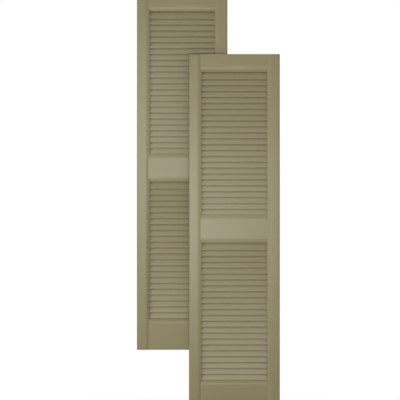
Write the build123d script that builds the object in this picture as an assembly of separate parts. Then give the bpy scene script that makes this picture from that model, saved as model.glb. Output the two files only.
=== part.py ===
from build123d import *
import math
import os

# A pair of alike louvred shutters, kept as they are shown: the front one stands lower and
# further right, with its back against the face of the rear one. Millimetres, +Z up, the
# faces look along -Y. The origin is the centre of the rear shutter's back.

# One shutter
shutter_width = 381.0
shutter_height = 1499.0
shutter_thickness = 35.0
edge_radius = 7.0

# Stiles
stile_width = 54.0
stile_moulding_width = 21.0
stile_moulding_depth = 8.0

# Rails
top_rail_height = 75.0
mid_rail_height = 117.0
bottom_rail_height = 132.0
upper_field_height = 599.0
rail_setback = 4.0
rail_moulding_width = 21.0
rail_moulding_depth = 6.0
cope_clearance = 0.1

# Louvre slats, sloping down towards the front
slat_width = 33.0
slat_thickness = 6.0
slat_tilt = 65.0
slat_pitch = 24.7
slat_setback = 10.0
slat_end_gap = 0.1

# Housings in the stiles that hold the slat ends
housing_depth = 6.0
housing_clearance = 0.2
housing_end_clearance = 0.3

# Dowels between rails and stiles
dowel_diameter = 10.0
dowel_length = 60.0
dowel_clearance = 0.1
dowel_end_clearance = 1.0
dowel_from_rail_edge = 20.0

# Blind fixing holes in the back of the stiles, on their centre lines
fixing_diameter = 6.5
fixing_skin = 13.0
fixing_from_end = 150.0

# How far the front shutter stands from the rear one
front_shift_right = 219.0
front_shift_down = 257.0

# Worked out from the sizes above
opening_width = shutter_width - 2 * stile_width
mid_rail_top = shutter_height - top_rail_height - upper_field_height
mid_rail_foot = mid_rail_top - mid_rail_height
lower_field_height = mid_rail_foot - bottom_rail_height
rail_thickness = shutter_thickness - rail_setback
stile_moulding_radius = (stile_moulding_width**2 + stile_moulding_depth**2) / (2 * stile_moulding_depth)
cope_radius = stile_moulding_radius + cope_clearance
cope_reach = stile_moulding_width - math.sqrt(cope_radius**2 - (stile_moulding_radius - rail_setback) ** 2)
cope_depth = stile_moulding_radius - math.sqrt(cope_radius**2 - stile_moulding_width**2)
slat_rise = (slat_width - slat_thickness) * math.sin(math.radians(slat_tilt)) + slat_thickness
slat_run = (slat_width - slat_thickness) * math.cos(math.radians(slat_tilt)) + slat_thickness
slat_length = opening_width + 2 * (housing_depth - housing_end_clearance)
fixing_depth = shutter_thickness - fixing_skin
fixing_from_middle = (shutter_width - stile_width) / 2


def shutter_outline():
    # The whole shutter's block, its front edges rounded along the head and the foot
    head = shutter_height
    front = -shutter_thickness
    inside = front + edge_radius
    side = make_face([
        Line((0, 0), (0, head)),
        Line((0, head), (inside, head)),
        TangentArc((inside, head), (front, head - edge_radius), tangent=(-1, 0)),
        Line((front, head - edge_radius), (front, edge_radius)),
        TangentArc((front, edge_radius), (inside, 0), tangent=(0, -1)),
        Line((inside, 0), (0, 0)),
    ])
    return extrude(Plane.YZ * side, shutter_width / 2, both=True)


def slat_centres(foot, height):
    # Heights of the slats in one field, spread evenly between its two rails
    room = height - 2 * slat_end_gap - slat_rise
    count = round(room / slat_pitch) + 1
    first = foot + slat_end_gap + slat_rise / 2
    return [first + i * room / (count - 1) for i in range(count)]


def lower_slat_centres():
    return slat_centres(bottom_rail_height, lower_field_height)


def upper_slat_centres():
    return slat_centres(mid_rail_top, upper_field_height)


def slat_bar(clearance, length):
    # A flat bar with round edges, tilted as it sits, its middle at the slats' depth
    section = SlotOverall(slat_width + 2 * clearance, slat_thickness + 2 * clearance)
    depth = -shutter_thickness + slat_setback + slat_run / 2
    return Pos(0, depth, 0) * extrude(Plane.YZ * Rot(0, 0, slat_tilt) * section, length / 2, both=True)


def dowel_rods(rail_foot, rail_height, clearance, end_clearance):
    # Two rods at each end of a rail, centred on the joint and on the rail's thickness
    rod = Cylinder(dowel_diameter / 2 + clearance, dowel_length + 2 * end_clearance, rotation=(0, 90, 0))
    depth = -rail_thickness / 2
    heights = (rail_foot + dowel_from_rail_edge, rail_foot + rail_height - dowel_from_rail_edge)
    return [Pos(side * opening_width / 2, depth, z) * rod for side in (-1, 1) for z in heights]


def rails():
    # Foot and height of each rail
    return {
        "top_rail": (shutter_height - top_rail_height, top_rail_height),
        "mid_rail": (mid_rail_foot, mid_rail_height),
        "bottom_rail": (0.0, bottom_rail_height),
    }


def all_dowel_holes():
    holes = []
    for foot, height in rails().values():
        holes += dowel_rods(foot, height, dowel_clearance, dowel_end_clearance)
    return holes


def fixing_holes():
    # Four blind holes bored from the back, two in each stile
    hole = Pos(0, -fixing_depth / 2, 0) * Cylinder(fixing_diameter / 2, fixing_depth, rotation=(90, 0, 0))
    heights = (fixing_from_end, shutter_height - fixing_from_end)
    return [Pos(side * fixing_from_middle, 0, z) * hole for side in (-1, 1) for z in heights]


def stile_section():
    # Seen from above: outer edge at the left, moulding at the right, back along the top
    front = -shutter_thickness
    moulding_start = stile_width - stile_moulding_width
    moulding_end = front + stile_moulding_depth
    return make_face([
        Line((0, 0), (0, front + edge_radius)),
        TangentArc((0, front + edge_radius), (edge_radius, front), tangent=(0, -1)),
        Line((edge_radius, front), (moulding_start, front)),
        TangentArc((moulding_start, front), (stile_width, moulding_end), tangent=(1, 0)),
        Line((stile_width, moulding_end), (stile_width, 0)),
        Line((stile_width, 0), (0, 0)),
    ])


def left_stile():
    blank = Pos(-shutter_width / 2, 0, 0) * extrude(stile_section(), shutter_height)
    housing = slat_bar(housing_clearance, opening_width + 2 * housing_depth)
    housings = [Pos(0, 0, z) * housing for z in lower_slat_centres() + upper_slat_centres()]
    return (blank & shutter_outline()) - (housings + all_dowel_holes() + fixing_holes())


def right_stile():
    return mirror(left_stile(), about=Plane.YZ)


def rail(foot, height, moulded_below, moulded_above):
    # Section seen from the side, run between the stiles, with its ends coped
    front = -rail_thickness
    lip = front + rail_moulding_depth
    low = rail_moulding_width if moulded_below else 0.0
    high = height - (rail_moulding_width if moulded_above else 0.0)
    edges = [Line((front, low), (front, high)), Line((0, height), (0, 0))]
    if moulded_above:
        edges.append(TangentArc((front, high), (lip, height), tangent=(0, 1)))
        edges.append(Line((lip, height), (0, height)))
    else:
        edges.append(Line((front, height), (0, height)))
    if moulded_below:
        edges.append(TangentArc((front, low), (lip, 0), tangent=(0, -1)))
        edges.append(Line((lip, 0), (0, 0)))
    else:
        edges.append(Line((front, 0), (0, 0)))
    half = opening_width / 2 + cope_reach
    bar = Pos(0, 0, foot) * extrude(Plane.YZ * make_face(edges), half, both=True)
    shaped = bar & rail_plan() & shutter_outline()
    return shaped - dowel_rods(foot, height, dowel_clearance, dowel_end_clearance)


def rail_plan():
    # A rail's outline from above. Its shoulders meet the stiles' inner sides, and in front of
    # them its ends run out over the stiles' moulding, cut to the arc of that moulding
    half = opening_width / 2
    front = -rail_thickness
    shoulder = cope_depth - shutter_thickness
    tip = half + cope_reach
    plan = make_face([
        Line((-half, 0), (-half, shoulder)),
        RadiusArc((-half, shoulder), (-tip, front), cope_radius),
        Line((-tip, front), (tip, front)),
        RadiusArc((tip, front), (half, shoulder), cope_radius),
        Line((half, shoulder), (half, 0)),
        Line((half, 0), (-half, 0)),
    ])
    return extrude(plan, shutter_height)


def slats(centres):
    # One field of separate slats
    slat = slat_bar(0.0, slat_length)
    return Compound(children=[Pos(0, 0, z) * slat for z in centres])


def dowels(foot, height):
    return Compound(children=dowel_rods(foot, height, 0.0, 0.0))


def shutter_pieces():
    pieces = {
        "left_stile": left_stile(),
        "right_stile": right_stile(),
        "top_rail": rail(*rails()["top_rail"], moulded_below=True, moulded_above=False),
        "mid_rail": rail(*rails()["mid_rail"], moulded_below=True, moulded_above=True),
        "bottom_rail": rail(*rails()["bottom_rail"], moulded_below=False, moulded_above=True),
        "upper_slats": slats(upper_slat_centres()),
        "lower_slats": slats(lower_slat_centres()),
    }
    for name, (foot, height) in rails().items():
        pieces[name + "_dowels"] = dowels(foot, height)
    return pieces


# Where each shutter stands
rear_place = Pos(0, 0, -shutter_height / 2)
front_place = Pos(front_shift_right, -shutter_thickness, -shutter_height / 2 - front_shift_down)

os.makedirs("parts", exist_ok=True)
for shutter, place in {"rear": rear_place, "front": front_place}.items():
    for name, piece in shutter_pieces().items():
        export_step(place * piece, f"parts/{shutter}_{name}.step")
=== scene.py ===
import math

import bmesh
import bpy
import numpy as np
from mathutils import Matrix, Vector


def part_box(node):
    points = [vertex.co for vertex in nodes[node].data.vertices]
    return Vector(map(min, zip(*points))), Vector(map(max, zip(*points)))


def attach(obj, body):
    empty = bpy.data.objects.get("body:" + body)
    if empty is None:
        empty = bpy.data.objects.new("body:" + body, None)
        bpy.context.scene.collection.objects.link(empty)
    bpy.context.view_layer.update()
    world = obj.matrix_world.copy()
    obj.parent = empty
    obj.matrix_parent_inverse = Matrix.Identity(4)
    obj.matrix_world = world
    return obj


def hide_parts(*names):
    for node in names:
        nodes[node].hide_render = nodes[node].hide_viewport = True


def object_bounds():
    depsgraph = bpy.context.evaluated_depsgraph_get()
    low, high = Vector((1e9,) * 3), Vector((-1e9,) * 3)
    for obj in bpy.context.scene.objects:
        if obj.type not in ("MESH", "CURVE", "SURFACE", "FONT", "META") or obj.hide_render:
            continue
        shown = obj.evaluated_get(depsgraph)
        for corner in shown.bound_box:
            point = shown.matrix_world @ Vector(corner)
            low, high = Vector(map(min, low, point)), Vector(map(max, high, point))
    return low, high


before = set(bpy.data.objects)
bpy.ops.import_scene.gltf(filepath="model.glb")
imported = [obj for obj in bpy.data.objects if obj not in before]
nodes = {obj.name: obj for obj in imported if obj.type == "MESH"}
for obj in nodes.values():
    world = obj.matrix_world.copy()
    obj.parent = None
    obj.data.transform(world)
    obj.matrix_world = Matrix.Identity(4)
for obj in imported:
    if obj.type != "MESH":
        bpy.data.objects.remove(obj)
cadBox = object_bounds()
leaves = ("rear", "front")
print("frame loaded with", len(nodes), "nodes")

# Shader helpers


def addNode(tree, kind, inputs=None, **settings):
    # Makes a node; an input is a value or another node's output
    node = tree.nodes.new(kind)
    for name, value in settings.items():
        setattr(node, name, value)
    for name, value in (inputs or {}).items():
        fillSocket(tree, node.inputs[name], value)
    return node


def fillSocket(tree, socket, value):
    if isinstance(value, bpy.types.NodeSocket):
        tree.links.new(value, socket)
    else:
        socket.default_value = value


def maths(tree, operation, first, second=0.0, third=0.0):
    return addNode(tree, "ShaderNodeMath", {0: first, 1: second, 2: third}, operation=operation).outputs[0]


def vectorMaths(tree, operation, first, second=(0.0, 0.0, 0.0)):
    node = addNode(tree, "ShaderNodeVectorMath", {0: first, 1: second}, operation=operation)
    return node.outputs["Value" if operation == "DOT_PRODUCT" else "Vector"]


def mixColour(tree, share, first, second, blend="MIX"):
    node = addNode(tree, "ShaderNodeMix", data_type="RGBA", blend_type=blend)
    wanted = {("Factor", "VALUE"): share, ("A", "RGBA"): first, ("B", "RGBA"): second}
    for socket in node.inputs:
        if (socket.name, socket.type) in wanted:
            fillSocket(tree, socket, wanted[socket.name, socket.type])
    return next(socket for socket in node.outputs if socket.type == "RGBA")


def spread(tree, value, fromLow, fromHigh, low, high):
    # Eases a value from one range to another
    inputs = {"Value": value, "From Min": fromLow, "From Max": fromHigh, "To Min": low, "To Max": high}
    return addNode(tree, "ShaderNodeMapRange", inputs, interpolation_type="SMOOTHSTEP").outputs["Result"]


def noise(tree, place, kind):
    scale, detail, roughness = noises[kind]
    inputs = {"Vector": place, "Scale": scale, "Detail": detail, "Roughness": roughness}
    return addNode(tree, "ShaderNodeTexNoise", inputs).outputs[0]


def newMaterial(name):
    material = bpy.data.materials.new(name)
    material.use_nodes = True
    material.node_tree.nodes.clear()
    return material, material.node_tree


def newGroup(name, takes, gives):
    # A node group with numbers and vectors in and plain numbers out
    tree = bpy.data.node_groups.new(name, "ShaderNodeTree")
    for socketName, value in takes.items():
        kind = "NodeSocketVector" if isinstance(value, tuple) else "NodeSocketFloat"
        tree.interface.new_socket(socketName, in_out="INPUT", socket_type=kind).default_value = value
    for socketName in gives:
        tree.interface.new_socket(socketName, in_out="OUTPUT", socket_type="NodeSocketFloat")
    return tree, tree.nodes.new("NodeGroupInput").outputs, tree.nodes.new("NodeGroupOutput").inputs


def useGroup(tree, group, **inputs):
    return addNode(tree, "ShaderNodeGroup", inputs, node_tree=group).outputs


# Effects that the materials share

# Scale, detail and roughness of each noise; the scale is how many waves a metre holds
noises = {
    "broadStrokes": (140.0, 3.0, 0.55),
    "bristles": (900.0, 2.0, 0.6),
    "growthLines": (11.0, 1.0, 0.4),
    "fibres": (1700.0, 2.0, 0.7),
    "dustSpots": (26.0, 4.0, 0.6),
    "rubbedStretches": (34.0, 3.0, 0.6),
    "paintSpots": (7.0, 3.0, 0.5),
}
effects = {
    "lineSharpness": 3.0,
    # The range of a value, and the range it is eased to
    "dustAndTopLightFacing": (0.15, 0.75, 0.0, 1.0),
    "dustSpots": (0.25, 0.75, 0.55, 1.0),
    "rubbedThrough": (1.1, 1.55, 0.0, 1.0),
}


def buildBrushMarks():
    # Streaks along the piece: broad ones a few millimetres wide under fine ones as wide as a bristle.
    # The height is the broad noise plus Fine times how far the fine one lies above it
    takes = {"Position": (0.0, 0.0, 0.0), "Stretch": (1.0, 1.0, 1.0), "Fine": 0.35}
    tree, takes, gives = newGroup("brushMarks", takes, ("Height", "Tone"))
    drawn = vectorMaths(tree, "MULTIPLY", takes["Position"], takes["Stretch"])
    broad = noise(tree, drawn, "broadStrokes")
    bristle = noise(tree, drawn, "bristles")
    height = maths(tree, "MULTIPLY_ADD", maths(tree, "SUBTRACT", bristle, broad), takes["Fine"], broad)
    fillSocket(tree, gives["Height"], height)
    fillSocket(tree, gives["Tone"], broad)
    return tree


def buildTimberGrain():
    # Growth lines that run along the piece and wander a little. One line follows another whenever a slow
    # noise has risen by Step, and each one darkens slowly and ends at once
    takes = {"Position": (0.0, 0.0, 0.0), "Stretch": (1.0, 1.0, 1.0), "Step": 0.08}
    tree, takes, gives = newGroup("timberGrain", takes, ("Line", "Fibre"))
    drawn = vectorMaths(tree, "MULTIPLY", takes["Position"], takes["Stretch"])
    line = maths(tree, "FRACT", maths(tree, "DIVIDE", noise(tree, drawn, "growthLines"), takes["Step"]))
    fillSocket(tree, gives["Line"], maths(tree, "POWER", line, effects["lineSharpness"]))
    fillSocket(tree, gives["Fibre"], noise(tree, drawn, "fibres"))
    return tree


def buildSoftPatch():
    # A patch with no edge: two to the power of minus the squared distance from Middle, in units of Reach
    takes = {"Position": (0.0, 0.0, 0.0), "Middle": (0.0, 0.0, 0.0), "Reach": (1.0, 1.0, 1.0)}
    tree, takes, gives = newGroup("softPatch", takes, ("Mask",))
    offset = vectorMaths(tree, "SUBTRACT", takes["Position"], takes["Middle"])
    away = vectorMaths(tree, "DIVIDE", offset, takes["Reach"])
    square = vectorMaths(tree, "DOT_PRODUCT", away, away)
    fillSocket(tree, gives["Mask"], maths(tree, "POWER", 2.0, maths(tree, "MULTIPLY", square, -1.0)))
    return tree


def buildSettledDust():
    # Dust on what faces up, thicker in some spots than in others. The paler up-facing faces are also painted
    # light from above
    takes = {"Position": (0.0, 0.0, 0.0), "Facing": (0.0, 0.0, 1.0), "Amount": 0.5}
    tree, takes, gives = newGroup("settledDustAndTopLight", takes, ("Mask",))
    up = addNode(tree, "ShaderNodeSeparateXYZ", {"Vector": takes["Facing"]}).outputs["Z"]
    level = spread(tree, up, *effects["dustAndTopLightFacing"])
    spots = spread(tree, noise(tree, takes["Position"], "dustSpots"), *effects["dustSpots"])
    settled = maths(tree, "MULTIPLY", level, spots)
    fillSocket(tree, gives["Mask"], maths(tree, "MULTIPLY", settled, takes["Amount"]))
    return tree


def buildRubbedArris():
    # Where an arris is rubbed thin, in uneven stretches: noise plus Arris has to pass a level
    takes = {"Position": (0.0, 0.0, 0.0), "Arris": 0.0, "Amount": 0.5}
    tree, takes, gives = newGroup("rubbedArris", takes, ("Mask",))
    stretches = noise(tree, takes["Position"], "rubbedStretches")
    rubbed = spread(tree, maths(tree, "ADD", takes["Arris"], stretches), *effects["rubbedThrough"])
    fillSocket(tree, gives["Mask"], maths(tree, "MULTIPLY", rubbed, takes["Amount"]))
    return tree


brushMarks = buildBrushMarks()
timberGrain = buildTimberGrain()
softPatch = buildSoftPatch()
settledDustAndTopLight = buildSettledDust()
rubbedArris = buildRubbedArris()
print("shared effects built")

# Paint

paint = {
    "colour": (0.209, 0.181, 0.077, 1.0),
    "toneSpread": 0.035,
    # The pale colour that painted light is mixed toward: the painted sheen, the slats' painted shade and the
    # painted glint
    "paintedLightColour": (0.64, 0.61, 0.48, 1.0),
    # A painted sheen: a soft pale patch beside the left side of each leaf, placed for each leaf apart
    "paintedSheenAmount": 0.17,
    "paintedSheenHeightShare": {"rear": 0.63, "front": 0.565},
    "paintedSheenFromSide": 0.015,
    "paintedSheenReach": (0.29, 10.0, 0.42),
    # How far the slats' painted shade, painted light and random tone mix toward the pale colour
    "paintedShadeAndToneAmount": 0.115,
    # Dust on what faces up, also painted light from above on the slats and the upward mouldings
    "dustAndTopLightColour": (0.50, 0.47, 0.34, 1.0),
    "dustAndTopLightAmount": 0.06,
    "dustRoughness": 0.8,
    "rubbedColour": (0.33, 0.30, 0.18, 1.0),
    "rubbedAmount": 0.5,
    "roughness": 0.40,
    "roughnessSpread": 0.06,
    "filmRelief": 0.00016,
    "reliefStrength": 0.7,
    "grainShare": 0.5,
    "along": {"upright": (1.0, 1.0, 0.02), "across": (0.02, 1.0, 1.0)},
}
# A painted glint: a pale streak along the top rail's lower moulding, where light would catch it
railGlint = {"right": 0.022, "belowHead": 0.053, "reach": (0.042, 1.0, 0.0065), "amount": 0.06}


def leafBox(leaf):
    low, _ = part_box(leaf + "_left_stile")
    _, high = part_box(leaf + "_right_stile")
    return low, high


def paintedTimber(leaf, direction):
    # The leaf's paint over timber that runs upright or across
    material, tree = newMaterial(f"{leaf}_{direction}_paint")
    low, high = leafBox(leaf)
    coordinates = addNode(tree, "ShaderNodeTexCoord").outputs
    place = coordinates["Object"]
    stretch = paint["along"][direction]
    marks = useGroup(tree, brushMarks, Position=place, Stretch=stretch)
    grain = useGroup(tree, timberGrain, Position=place, Stretch=stretch)
    mottle = maths(tree, "ADD", marks["Tone"], noise(tree, place, "paintSpots"))
    tone = maths(tree, "MULTIPLY_ADD", mottle, paint["toneSpread"] * 2, 1 - paint["toneSpread"] * 2)
    colour = mixColour(tree, 1.0, paint["colour"], tone, "MULTIPLY")
    # Painted light, mixed toward one pale colour: a painted sheen in a soft patch beside the left side,
    # painted shade and random tone on the slats, and a painted glint on the top rail
    halfway = low.z + paint["paintedSheenHeightShare"][leaf] * (high.z - low.z)
    middle = (low.x + paint["paintedSheenFromSide"], low.y, halfway)
    # Painted sheen: the paint made paler in a soft patch where a highlight would fall
    paintedSheen = useGroup(tree, softPatch, Position=place, Middle=middle, Reach=paint["paintedSheenReach"])["Mask"]
    # Painted glint on the top rail's moulding
    glintMiddle = ((low.x + high.x) / 2 + railGlint["right"], low.y, high.z - railGlint["belowHead"])
    paintedGlint = useGroup(tree, softPatch, Position=place, Middle=glintMiddle, Reach=railGlint["reach"])["Mask"]
    paintedShadeAndTone = addNode(tree, "ShaderNodeAttribute", attribute_name="paintedShadeAndTone").outputs["Fac"]
    paintedLight = maths(tree, "MULTIPLY", paintedSheen, paint["paintedSheenAmount"])
    paintedLight = maths(tree, "MULTIPLY_ADD", paintedShadeAndTone, paint["paintedShadeAndToneAmount"], paintedLight)
    paintedLight = maths(tree, "MULTIPLY_ADD", paintedGlint, railGlint["amount"], paintedLight)
    colour = mixColour(tree, paintedLight, colour, paint["paintedLightColour"])
    facing = coordinates["Normal"]
    # Dust that is also painted light from above
    dustAndTopLight = useGroup(tree, settledDustAndTopLight, Position=place, Facing=facing, Amount=paint["dustAndTopLightAmount"])["Mask"]
    colour = mixColour(tree, dustAndTopLight, colour, paint["dustAndTopLightColour"])
    arris = addNode(tree, "ShaderNodeAttribute", attribute_name="arris").outputs["Fac"]
    rubbed = useGroup(tree, rubbedArris, Position=place, Arris=arris, Amount=paint["rubbedAmount"])["Mask"]
    colour = mixColour(tree, rubbed, colour, paint["rubbedColour"])
    smoothest = paint["roughness"] - paint["roughnessSpread"] / 2
    roughness = maths(tree, "MULTIPLY_ADD", marks["Tone"], paint["roughnessSpread"], smoothest)
    roughness = maths(tree, "MULTIPLY_ADD", dustAndTopLight, paint["dustRoughness"], roughness)
    relief = maths(tree, "MULTIPLY_ADD", grain["Line"], paint["grainShare"], marks["Height"])
    bump = addNode(tree, "ShaderNodeBump", {
        "Height": relief, "Distance": paint["filmRelief"], "Strength": paint["reliefStrength"]})
    surface = addNode(tree, "ShaderNodeBsdfPrincipled", {
        "Base Color": colour, "Roughness": roughness, "Normal": bump.outputs[0]})
    addNode(tree, "ShaderNodeOutputMaterial", {"Surface": surface.outputs[0]})
    return material


bareWood = {
    "early": (0.66, 0.49, 0.30, 1.0),
    "late": (0.42, 0.27, 0.14, 1.0),
    "roughness": 0.72,
    "relief": 0.0001,
    "reliefStrength": 0.8,
    "along": (0.05, 1.0, 1.0),
    "lineStep": 0.04,
    "fibreShade": 0.5,
    "lineShade": 0.6,
}


def bareTimber():
    # Sawn and bored wood inside the joints and the fixing holes
    material, tree = newMaterial("bareWood")
    place = addNode(tree, "ShaderNodeTexCoord").outputs["Object"]
    grain = useGroup(tree, timberGrain, Position=place, Stretch=bareWood["along"], Step=bareWood["lineStep"])
    lines = maths(tree, "MULTIPLY", grain["Line"], bareWood["lineShade"])
    shade = maths(tree, "MULTIPLY_ADD", grain["Fibre"], bareWood["fibreShade"], lines)
    colour = mixColour(tree, shade, bareWood["early"], bareWood["late"])
    bump = addNode(tree, "ShaderNodeBump", {
        "Height": grain["Fibre"], "Distance": bareWood["relief"], "Strength": bareWood["reliefStrength"]})
    surface = addNode(tree, "ShaderNodeBsdfPrincipled", {
        "Base Color": colour, "Roughness": bareWood["roughness"], "Normal": bump.outputs[0]})
    addNode(tree, "ShaderNodeOutputMaterial", {"Surface": surface.outputs[0]})
    return material


bareMaterial = bareTimber()
paints = {(leaf, way): paintedTimber(leaf, way) for leaf in leaves for way in paint["along"]}
print("materials built")

# Meshes. A sheet is an array of points, the faces between them and the number of its material. A point is
# x, y, z, how much of an arris it is and how pale its paint is made, which on the slats is random tone with
# painted shade and painted light

meshing = {
    "weldDistance": 2e-6,
    "sharpAngle": math.radians(35),
    "pocketPoints": 24,  # round the rim of a housing or a bored hole, a multiple of four
}
painted, bored = 0, 1  # the numbers of a piece's materials


def gridFaces(rows, columns, closed=False, keep=None):
    # Quads between neighbouring rows and columns; closed joins the last column to the first
    index = np.arange(rows * columns).reshape(rows, columns)
    if closed:
        index = np.concatenate([index, index[:, :1]], axis=1)
    quads = np.stack([index[:-1, :-1], index[:-1, 1:], index[1:, 1:], index[1:, :-1]], axis=-1)
    return quads.reshape(-1, 4) if keep is None else quads[keep]


def ladderFaces(count, first=0):
    # Closes a loop by joining the points that lie opposite each other
    step = np.arange(count // 2 - 1)
    return first + np.stack([step, step + 1, count - 2 - step, count - 1 - step], axis=-1)


def fanFaces(count):
    # Joins a loop to the four corners round it: each quarter of the loop fans out to its own corner
    here = np.arange(count)
    there = np.roll(here, -1)
    owner = here * 4 // count
    nextOwner = np.roll(owner, -1)
    same = owner == nextOwner
    triangles = np.stack([here[same], there[same], count + owner[same]], axis=-1)
    quads = np.stack([here, there, count + nextOwner, count + owner], axis=-1)[~same]
    return triangles, quads


def barOutline(count, middle, tilt, halfLength, radius):
    # Section of a bar with round ends: two half circles, each moved by halfLength along the tilted length,
    # or one circle where that is nothing. A quarter of the points lies at each of the four corners, from the
    # lower front one round to the upper front one. The third value runs from 1 at the front to -1 at the rear
    half = np.linspace(0.5, 1.5, count // 2) * math.pi
    if not halfLength:
        half = (0.5 + (np.arange(count // 2) + 0.5) * 2 / count) * math.pi
    quarter = count // 4
    turn = np.concatenate([half[quarter:], half + math.pi, half[:quarter]])
    end = np.repeat([-1.0, 1.0, 1.0, -1.0], quarter)
    along = halfLength * end + radius * np.cos(turn)
    across = radius * np.sin(turn)
    depth = middle[0] + along * math.cos(tilt) - across * math.sin(tilt)
    height = middle[1] + along * math.sin(tilt) + across * math.cos(tilt)
    return depth, height, -along / (halfLength + radius)


def makePiece(name, sheets, materials, node):
    # One mesh of all the sheets, welded where they meet, in place of a solid
    pointLists = [sheetPoints.reshape(-1, sheetPoints.shape[-1]) for sheetPoints, _, _ in sheets]
    points = np.concatenate(pointLists)
    faces = []
    kinds = []
    start = 0
    for pointList, (_, faceArrays, kind) in zip(pointLists, sheets):
        for array in faceArrays:
            faces += (array + start).tolist()
            kinds += [kind] * len(array)
        start += len(pointList)
    mesh = bpy.data.meshes.new(name)
    mesh.from_pydata(points[:, :3].tolist(), [], faces)
    for column, attribute in ((3, "arris"), (4, "paintedShadeAndTone")):
        values = points[:, column].astype(np.float32)
        mesh.attributes.new(attribute, "FLOAT", "POINT").data.foreach_set("value", values)
    mesh.polygons.foreach_set("material_index", kinds)
    for material in materials:
        mesh.materials.append(material)
    work = bmesh.new()
    work.from_mesh(mesh)
    bmesh.ops.remove_doubles(work, verts=work.verts, dist=meshing["weldDistance"])
    bmesh.ops.recalc_face_normals(work, faces=work.faces)
    work.to_mesh(mesh)
    work.free()
    mesh.polygons.foreach_set("use_smooth", np.ones(len(mesh.polygons), bool))
    mesh.set_sharp_from_angle(angle=meshing["sharpAngle"])
    piece = bpy.data.objects.new(name, mesh)
    bpy.context.scene.collection.objects.link(piece)
    weighted = piece.modifiers.new("flatFaces", "WEIGHTED_NORMAL")
    weighted.keep_sharp = True
    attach(piece, "root")
    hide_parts(node)
    return piece


# Boards of the frame: stiles and rails. A board is a pile of rectangles, one for each depth from its face,
# and each side of a rectangle is set in from the board's edge by that side's own curve

edges = {
    "levels": 9,  # round the moulding's arc
    "arrisSoftness": 0.00015,
    "lipSteps": (-2.5, -1.0, 0.0, 1.0, 3.0),  # levels round the lip, counted in the arris's softness
    "wallStep": 8.0,  # where the flat wall begins behind the lip, counted the same way
    "backRounding": 0.0008,
    "backAngles": (0, 30, 60, 90),  # degrees round that arc
    "lipWear": 0.0012,
    "backWear": 0.0006,
    "holeRoom": 0.009,  # the nearest that a line of the back comes to a hole's middle
}


def roundedInset(depth, radius, cut=0.0):
    # Quarter circle from face to side: the radius less the root of its square minus the square of the depth
    # that is left to go. cut is how much of the circle lies in front of the face
    left = np.clip(radius - depth - cut, 0.0, radius)
    return radius - np.sqrt(radius**2 - left**2)


def mouldedRadius(width, deep):
    # Radius of the arc that leaves a face along it and is deep below it after width
    return (width**2 + deep**2) / (2 * deep)


def mouldedInset(depth, width, deep):
    # Distance from the board's edge to the moulding's arc at a depth below the face. Past the lip it would be
    # nothing, and the root of its square plus that of twice the softness, halved with it, rounds the corner
    radius = mouldedRadius(width, deep)
    arc = width - np.sqrt(radius**2 - (radius - np.minimum(depth, radius)) ** 2)
    return (arc + np.sqrt(arc**2 + 4 * edges["arrisSoftness"] ** 2)) / 2


def boardLevels(width, deep, thickness, extra=()):
    # Depths of the rectangles: even turns round the moulding's arc, steps round its lip, the wall's start,
    # and turns round the back's rounding, whose first ends the wall. Also gives which one the wall's start is
    radius = mouldedRadius(width, deep)
    turn = np.linspace(0, math.asin(width / radius), edges["levels"])
    soft = edges["arrisSoftness"]
    back = edges["backRounding"]
    front = list(radius * (1 - np.cos(turn[:-1]))) + [deep + step * soft for step in edges["lipSteps"]]
    front = sorted(front + list(extra))
    wallStart = deep + edges["wallStep"] * soft
    rounding = [thickness - back * (1 - math.sin(math.radians(angle))) for angle in edges["backAngles"]]
    return np.array(front + [wallStart] + rounding), len(front)


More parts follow.
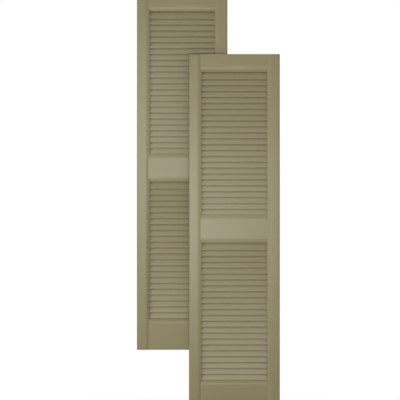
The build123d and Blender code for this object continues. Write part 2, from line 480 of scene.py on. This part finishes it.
def boardSheets(size, levels, wallLevel, insets, stations, linesFront, linesBack, pockets, holes):
    # The face, the walls and the back of a board. size is width, height and thickness; pockets has for a
    # side its cells, outlines and depths; holes has stations, heights, radii and depths. A rectangle's corner
    # is the board's, moved in by two sides' insets, and lines between foot and head go straight across a wall
    width, height, thickness = size
    wallEnd = wallLevel + 1
    back = edges["backRounding"]
    backInset = back - np.sqrt(np.maximum(back**2 - np.clip(levels - thickness + back, 0, back) ** 2, 0.0))
    sides = {}
    for side, inset in insets.items():
        sides[side] = inset(levels)
        sides[side][wallLevel:] = 0.0
        sides[side] += backInset
    share = np.clip((levels - levels[wallLevel]) / (levels[wallEnd] - levels[wallLevel]), 0, 1)
    z = linesFront + share[:, None] * (linesBack - linesFront)
    z[:, 0] = sides["foot"]
    z[:, -1] = height - sides["head"]
    x = np.tile(stations, (len(levels), 1))
    x[:, 0] = sides["left"]
    x[:, -1] = width - sides["right"]
    # Wear falls off by a factor of e within its reach of the lip and of the back's edge
    lipDepth = levels[wallLevel] - edges["wallStep"] * edges["arrisSoftness"]
    lip = np.exp(-np.abs(levels - lipDepth) / edges["lipWear"])
    lip = np.maximum(lip, np.exp(-np.abs(levels - thickness) / edges["backWear"]))
    lip[-1] = 0.0  # the flat back is no arris

    def sheet(sheetX, sheetY, sheetZ, arris, keep=None):
        coordinates = np.broadcast_arrays(sheetX, sheetY, sheetZ, arris, 0.0)
        faces = gridFaces(*coordinates[0].shape, keep=keep)
        return np.stack(coordinates, axis=-1), [faces], painted

    y = levels[:, None]
    worn = lip[:, None]
    keeps = {side: np.ones((len(levels) - 1, z.shape[1] - 1), bool) for side in ("left", "right")}
    sheets = []
    for side, cells in pockets.items():
        edge = 0 if side == "left" else -1
        inward = 1.0 if side == "left" else -1.0
        for cell, (outDepth, outHeight, _), deep in cells:
            keeps[side][wallLevel, cell] = False
            wallX = x[wallLevel, edge]
            corners = [(wallX, levels[level], z[level, line], 0.0, 0.0) for level, line in (
                (wallLevel, cell), (wallEnd, cell), (wallEnd, cell + 1), (wallLevel, cell + 1))]
            rim = np.stack(np.broadcast_arrays(wallX, outDepth, outHeight, 0.0, 0.0), axis=-1)
            sheets += pocketSheets(rim, corners, np.array([inward * deep, 0, 0, 0, 0]), painted)
    sheets.append(sheet(x[0][None, :], levels[0], z[0][:, None], 0.0))
    sheets.append(sheet(x[:, :1], y, z, worn, keeps["left"]))
    sheets.append(sheet(x[:, -1:], y, z, worn, keeps["right"]))
    sheets.append(sheet(x, y, z[:, :1], worn))
    sheets.append(sheet(x, y, z[:, -1:], worn))
    # The back, whose lines bend away from its holes
    backZ = np.tile(z[-1][:, None], (1, len(stations)))
    keep = np.ones((z.shape[1] - 1, len(stations) - 1), bool)
    for station, middle, radius, deep in holes:
        for column in (station, station + 1):
            away = backZ[:, column] - middle
            bent = middle + np.where(away < 0, -1, 1) * np.maximum(np.abs(away), edges["holeRoom"])
            backZ[1:-1, column] = bent[1:-1]
        cell = int(np.searchsorted(backZ[:, station], middle)) - 1
        keep[cell, station] = False
        rimMiddle = ((stations[station] + stations[station + 1]) / 2, middle)
        rimX, rimZ, _ = barOutline(meshing["pocketPoints"], rimMiddle, 0.0, 0.0, radius)
        corners = [(stations[column], thickness, backZ[line, column], 0.0, 0.0) for line, column in (
            (cell, station), (cell, station + 1), (cell + 1, station + 1), (cell + 1, station))]
        rim = np.stack(np.broadcast_arrays(rimX, thickness, rimZ, 0.0, 0.0), axis=-1)
        sheets += pocketSheets(rim, corners, np.array([0, -deep, 0, 0, 0]), bored)
    sheets.append(sheet(x[-1][None, :], levels[-1], backZ, 0.0, keep))
    return sheets


def pocketSheets(rim, corners, inward, kind):
    # A pocket sunk into a wall: its rim fans out to the corners of its cell, and it has a wall and a floor
    count = len(rim)
    around = np.concatenate([rim, np.array(corners)])
    wall = np.stack([rim, rim + inward])
    return [
        (around, list(fanFaces(count)), painted),
        (wall, [gridFaces(2, count, closed=True), ladderFaces(count, first=count)], kind),
    ]


def placeBoard(sheets, corner, flip):
    # From width, depth and height of the board to the row's own frame; flip runs the width to the left
    placed = []
    for points, faces, kind in sheets:
        moved = points.copy()
        moved[..., 0] = corner[0] + (-points[..., 0] if flip else points[..., 0])
        moved[..., 1] = corner[1] + points[..., 1]
        moved[..., 2] = corner[2] + points[..., 2]
        placed.append((moved, faces, kind))
    return placed


# Slats: fixed flat bars with round edges, in two fields of each leaf. Their paint is made paler down each
# field, painted shade that keeps the slats under a rail darker, and paler at each slat's rear edge, painted
# light that lifts the shade between the slats

slat = {
    "width": 0.033,
    "thickness": 0.006,
    "tilt": math.radians(65),
    "counts": {"upper": 24, "lower": 23},
    "bow": 0.00015,
    "noseStart": 0.82,
    "toneSpread": 0.08,
    # How pale the lowest and the highest slat of a field are: painted shade, darker under the rail above
    "paintedShadeAndTone": {"upper": (0.6, 0.0), "lower": (1.4, -0.45)},
    # How much paler a slat is at its rear edge: painted light that lifts the shade between slats
    "paintedRearLight": 1.3,
    "stations": 9,
    "sectionPoints": 24,
    "seed": 11,
}
halfLength = (slat["width"] - slat["thickness"]) / 2
slatRise = 2 * halfLength * math.sin(slat["tilt"]) + slat["thickness"]


def slatField(leaf, field):
    # Ends of the slats, their depth and the heights of their middles
    low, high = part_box(f"{leaf}_{field}_slats")
    heights = np.linspace(low.z + slatRise / 2, high.z - slatRise / 2, slat["counts"][field])
    return low, high, (low.y + high.y) / 2, heights


def buildSlats(leaf, field, materials, random):
    # The outline of a bar runs from end to end, and bows square to its width by a parabola, which is the bow
    # drawn for that slat times 1 - (2 s - 1) squared, where s is the share of the length
    low, high, depth, heights = slatField(leaf, field)
    count = slat["sectionPoints"]
    lowest, highest = slat["paintedShadeAndTone"][field]
    x = np.linspace(low.x, high.x, slat["stations"])
    middle = 1 - (2 * (x - low.x) / (high.x - low.x) - 1) ** 2
    sheets = []
    for order, height in enumerate(heights):
        y, z, front = barOutline(count, (depth, height), slat["tilt"], halfLength, slat["thickness"] / 2)
        bow = middle[:, None] * random.uniform(-1, 1) * slat["bow"]
        nose = np.clip((front - slat["noseStart"]) / (1 - slat["noseStart"]), 0, 1)
        share = order / (len(heights) - 1)
        # Painted shade down the field, random tone, and painted light at the rear edge
        paintedShadeAndTone = lowest + share * (highest - lowest) + random.uniform(-1, 1) * slat["toneSpread"]
        paintedShadeAndTone = paintedShadeAndTone + slat["paintedRearLight"] * (1 - front) / 2
        y = y - bow * math.sin(slat["tilt"])
        z = z + bow * math.cos(slat["tilt"])
        points = np.stack(np.broadcast_arrays(x[:, None], y, z, nose, paintedShadeAndTone), axis=-1)
        last = (len(x) - 1) * count
        faces = [gridFaces(len(x), count, closed=True), ladderFaces(count), ladderFaces(count, last)]
        sheets.append((points, faces, painted))
    return makePiece(f"{leaf}_{field}_louvres", sheets, materials, f"{leaf}_{field}_slats")


# Stiles

stile = {
    "edgeRounding": 0.007,
    "mouldingWidth": 0.021,
    "mouldingDepth": 0.008,
    "housingClearance": 0.0002,
    "housingDepth": 0.006,
    "dowelClearance": 0.0001,
    "dowelEndClearance": 0.001,
    "fixingRadius": 0.00325,
    "fixingDepth": 0.022,
    "fixingFromEnd": 0.150,
    "fixingCell": 0.0055,  # half the width of the cell round a hole
    "fixingStation": 1,  # that cell's place among the three across the back
}


def dowelRows(leaf, kind):
    # Depth and heights of a rail's two rows of dowels, their radius and their outer end
    low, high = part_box(f"{leaf}_{kind}_dowels")
    radius = (high.y - low.y) / 2
    return (low.y + high.y) / 2, (low.z + radius, high.z - radius), radius, low.x


def boredOutline(depth, height, radius):
    # Rim of the hole for a dowel
    return barOutline(meshing["pocketPoints"], (depth, height), 0.0, 0.0, radius + stile["dowelClearance"])


def buildStile(leaf, side, materials):
    # The lines across the wall that holds the pockets lie halfway between them, tilted as the slats are
    node = f"{leaf}_{side}_stile"
    low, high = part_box(node)
    width, thickness, height = high.x - low.x, high.y - low.y, high.z - low.z
    moulding = (stile["mouldingWidth"], stile["mouldingDepth"])
    levels, wallLevel = boardLevels(*moulding, thickness, (stile["edgeRounding"],))
    depths = np.array([levels[wallLevel], levels[wallLevel + 1]])
    linesFront, linesBack, pockets = [0.0], [0.0], []

    def addDowels(kind):
        y, heights, radius, outerEnd = dowelRows(leaf, kind)
        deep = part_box(f"{leaf}_left_stile")[1].x - outerEnd + stile["dowelEndClearance"]
        for z in heights:
            pockets.append((boredOutline(y - low.y, z - low.z, radius), deep))
        return sum(heights) / 2 - low.z

    def addField(field):
        _, _, y, heights = slatField(leaf, field)
        pitch = heights[1] - heights[0]
        borders = np.append(heights - pitch / 2, heights[-1] + pitch / 2) - low.z
        slope = math.tan(slat["tilt"])
        linesFront.extend(borders + (depths[0] - (y - low.y)) * slope)
        linesBack.extend(borders + (depths[1] - (y - low.y)) * slope)
        radius = slat["thickness"] / 2 + stile["housingClearance"]
        for z in heights:
            middle = (y - low.y, z - low.z)
            outline = barOutline(meshing["pocketPoints"], middle, slat["tilt"], halfLength, radius)
            pockets.append((outline, stile["housingDepth"]))

    for kind, field in (("bottom_rail", "lower"), ("mid_rail", "upper"), ("top_rail", None)):
        between = addDowels(kind)
        linesFront.append(between)
        linesBack.append(between)
        if field:
            addField(field)
    linesFront.append(height)
    linesBack.append(height)
    cells = [(cell, outline, deep) for cell, (outline, deep) in enumerate(pockets)]

    def rounded(depth):
        return roundedInset(depth, stile["edgeRounding"])

    def moulded(depth):
        return mouldedInset(depth, *moulding)

    stations = np.array([0.0, width / 2 - stile["fixingCell"], width / 2 + stile["fixingCell"], width])
    fixingHeights = (stile["fixingFromEnd"], height - stile["fixingFromEnd"])
    hole = (stile["fixingRadius"], stile["fixingDepth"])
    holes = [(stile["fixingStation"], z, *hole) for z in fixingHeights]
    insets = {"left": rounded, "right": moulded, "foot": rounded, "head": rounded}
    sheets = boardSheets(
        (width, height, thickness), levels, wallLevel, insets,
        stations, np.array(linesFront), np.array(linesBack), {"right": cells}, holes)
    corner = (low.x if side == "left" else high.x, low.y, low.z)
    placed = placeBoard(sheets, corner, side == "right")
    return makePiece(f"{leaf}_{side}_upright", placed, materials, node)


# Rails

rail = {
    "mouldingWidth": 0.021,
    "mouldingDepth": 0.006,
    "copeClearance": 0.0001,
    "setback": 0.004,
    "stations": 8,
    "moulded": {"top_rail": ("foot",), "mid_rail": ("foot", "head"), "bottom_rail": ("head",)},
}


def copedInset(depth):
    # How far a rail's end runs out over the stile's moulding: the moulding's width less the root of the
    # squared radius minus the squared depth from the arc's centre. The clearance makes the radius larger
    radius = mouldedRadius(stile["mouldingWidth"], stile["mouldingDepth"])
    behind = np.minimum(depth + rail["setback"], radius)
    reached = np.sqrt((radius + rail["copeClearance"]) ** 2 - (radius - behind) ** 2)
    return -np.maximum(stile["mouldingWidth"] - reached, 0.0)


def buildRail(leaf, kind, materials):
    node = f"{leaf}_{kind}"
    low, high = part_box(node)
    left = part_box(f"{leaf}_left_stile")[1].x
    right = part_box(f"{leaf}_right_stile")[0].x
    width, thickness, height = right - left, high.y - low.y, high.z - low.z
    moulding = (rail["mouldingWidth"], rail["mouldingDepth"])
    levels, wallLevel = boardLevels(*moulding, thickness)

    def moulded(depth):
        return mouldedInset(depth, *moulding)

    def rounded(depth):
        return roundedInset(depth, stile["edgeRounding"], rail["setback"])

    insets = {"left": copedInset, "right": copedInset}
    for side in ("foot", "head"):
        insets[side] = moulded if side in rail["moulded"][kind] else rounded
    y, heights, radius, outerEnd = dowelRows(leaf, kind)
    deep = left - outerEnd + stile["dowelEndClearance"]
    cells = [(cell, boredOutline(y - low.y, z - low.z, radius), deep) for cell, z in enumerate(heights)]
    lines = np.array([0.0, sum(heights) / 2 - low.z, height])
    stations = np.linspace(0, width, rail["stations"] + 1)
    sheets = boardSheets(
        (width, height, thickness), levels, wallLevel, insets,
        stations, lines, lines, {"left": cells, "right": cells}, ())
    placed = placeBoard(sheets, (left, low.y, low.z), False)
    return makePiece(f"{leaf}_{kind}_board", placed, materials, node)


slatRandom = np.random.default_rng(slat["seed"])
for leaf in leaves:
    upright = [paints[leaf, "upright"], bareMaterial]
    across = [paints[leaf, "across"], bareMaterial]
    for side in ("left", "right"):
        buildStile(leaf, side, upright)
    for kind in rail["moulded"]:
        buildRail(leaf, kind, across)
    for field in slat["counts"]:
        buildSlats(leaf, field, across[:1], slatRandom)
    print(leaf, "leaf built")
for name, node in nodes.items():
    if name.endswith("dowels"):
        node.material_slots[0].material = bareMaterial

# Floor, world and lamps

studio = {
    "floorSize": 14.0,
    "floorColour": (0.86, 0.86, 0.85, 1.0),
    "floorWhiteShare": 0.55,
    "shadowReach": (0.42, 0.34, 1.0),
    "worldStrength": 0.60,
}
lamps = {
    "leftPanel": {
        "place": (-5.2, -4.6, -0.3), "aim": (0.1, 0.0, -0.2), "size": (2.5, 1.4), "power": 88.0},
    "sheenPanel": {
        "place": (-0.04, -2.8, -0.16), "aim": (-0.04, 0.0, -0.16), "size": (0.7, 0.7), "power": 17.5},
}


def seenDirectly(tree):
    # 1 where a camera, glossy or transmission ray looks, and 0 where light is gathered
    path = addNode(tree, "ShaderNodeLightPath").outputs
    glossy = maths(tree, "MAXIMUM", path["Is Glossy Ray"], path["Is Transmission Ray"])
    return maths(tree, "MAXIMUM", path["Is Camera Ray"], glossy)


def buildFloor():
    half = studio["floorSize"] / 2
    low, high = cadBox
    middle = (low + high) / 2
    corners = [(middle.x + x * half, y * half, low.z) for x, y in ((-1, -1), (1, -1), (1, 1), (-1, 1))]
    mesh = bpy.data.meshes.new("floor")
    mesh.from_pydata(corners, [], [(0, 1, 2, 3)])
    floor = bpy.data.objects.new("floor", mesh)
    bpy.context.scene.collection.objects.link(floor)
    material, tree = newMaterial("paleFloor")
    matt = addNode(tree, "ShaderNodeBsdfDiffuse", {"Color": studio["floorColour"]})
    glow = addNode(tree, "ShaderNodeEmission", {"Color": (1, 1, 1, 1), "Strength": 1.0})
    # White to look at, except round the foot, where the shadow is kept
    place = addNode(tree, "ShaderNodeTexCoord").outputs["Object"]
    foot = (middle.x, middle.y, 0.0)
    near = useGroup(tree, softPatch, Position=place, Middle=foot, Reach=studio["shadowReach"])["Mask"]
    white = maths(tree, "MULTIPLY_ADD", near, studio["floorWhiteShare"] - 1.0, 1.0)
    share = maths(tree, "MULTIPLY", seenDirectly(tree), white)
    both = addNode(tree, "ShaderNodeMixShader", {0: share, 1: matt.outputs[0], 2: glow.outputs[0]})
    addNode(tree, "ShaderNodeOutputMaterial", {"Surface": both.outputs[0]})
    mesh.materials.append(material)


def buildWorld():
    world = bpy.data.worlds.new("softRoom")
    bpy.context.scene.world = world
    world.use_nodes = True
    tree = world.node_tree
    tree.nodes.clear()
    strength = spread(tree, seenDirectly(tree), 0.0, 1.0, studio["worldStrength"], 1.0)
    back = addNode(tree, "ShaderNodeBackground", {"Color": (1, 1, 1, 1), "Strength": strength})
    addNode(tree, "ShaderNodeOutputWorld", {"Surface": back.outputs[0]})


def buildLamp(name, place, aim, size, power):
    data = bpy.data.lights.new(name, "AREA")
    data.shape = "RECTANGLE"
    data.size, data.size_y = size
    data.energy = power
    lamp = bpy.data.objects.new(name, data)
    bpy.context.scene.collection.objects.link(lamp)
    lamp.location = place
    lamp.rotation_euler = (Vector(aim) - Vector(place)).to_track_quat("-Z", "Y").to_euler()
    lamp.visible_camera = False


buildFloor()
buildWorld()
for name, lamp in lamps.items():
    buildLamp(name, **lamp)

# Camera: square on and far off, as the photo was taken

shot = {
    "aim": (0.075, -0.0525, -0.119),
    "lens": 180.0,
    "sensor": 36.0,
    "frameWidth": 1.678,
    "farthest": 100.0,
}


def buildCamera():
    data = bpy.data.cameras.new("camera")
    data.lens = shot["lens"]
    data.sensor_width = shot["sensor"]
    data.clip_end = shot["farthest"]
    camera = bpy.data.objects.new("camera", data)
    bpy.context.scene.collection.objects.link(camera)
    x, y, z = shot["aim"]
    # Far enough off for frameWidth to fill the picture
    camera.location = (x, y - shot["frameWidth"] * shot["lens"] / shot["sensor"], z)
    camera.rotation_euler = (math.radians(90), 0, 0)
    bpy.context.scene.camera = camera


buildCamera()
bpy.context.scene.view_settings.view_transform = "Standard"
print("floor, lamps and camera set")
